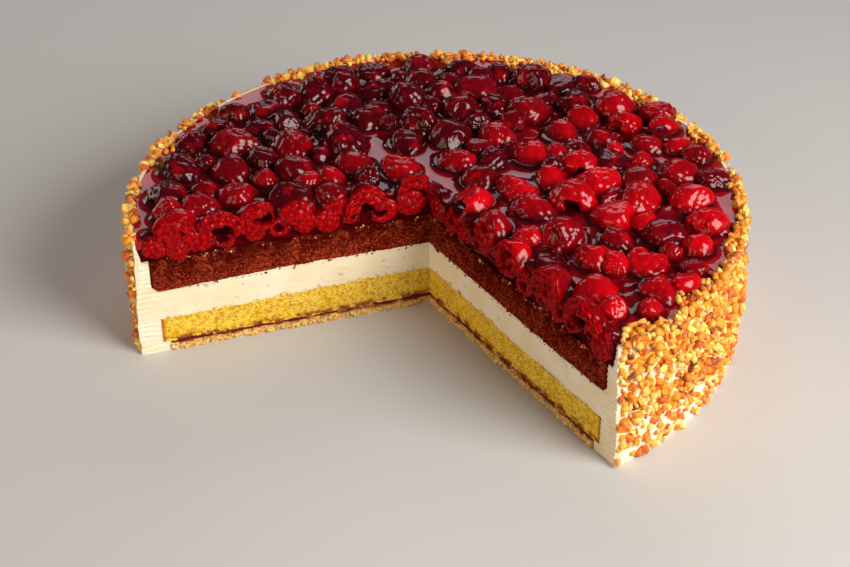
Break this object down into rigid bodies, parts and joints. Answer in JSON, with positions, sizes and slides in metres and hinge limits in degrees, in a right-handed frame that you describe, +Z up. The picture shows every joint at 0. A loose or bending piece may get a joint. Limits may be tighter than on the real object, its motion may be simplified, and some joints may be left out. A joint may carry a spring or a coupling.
{
  "type": "raspberry cream cake",
  "caption": "Round layered cream cake with a wide wedge cut away: shortcrust, jam, vanilla and chocolate sponge, cream side with chopped nuts, and raspberries in red jelly on top.",
  "frame": {"origin": "centre of the full round, on the underside that rests on a plate", "axes": "+Z up from the underside to the berries, +X across the full diameter, and the missing wedge opens towards -Y"},
  "size_m": [0.2791, 0.2575, 0.0734],
  "materials": {
    "shortcrust": "pale baked crumb",
    "jam": "glossy dark red",
    "vanilla_crumb": "soft yellow crumb",
    "cream": "smooth ivory cream",
    "chocolate_crumb": "soft dark brown crumb",
    "jelly": "glossy clear red",
    "raspberry": "glazed red fruit",
    "nut": "roasted chopped nut"
  },
  "bodies": {
    "root": {"shortcrust_base": "shortcrust", "raspberry_jam": "jam", "vanilla_sponge": "vanilla_crumb", "whipped_cream": "cream", "chocolate_sponge": "chocolate_crumb", "raspberry_topping": "jelly"}
  },
  "joints": []
}
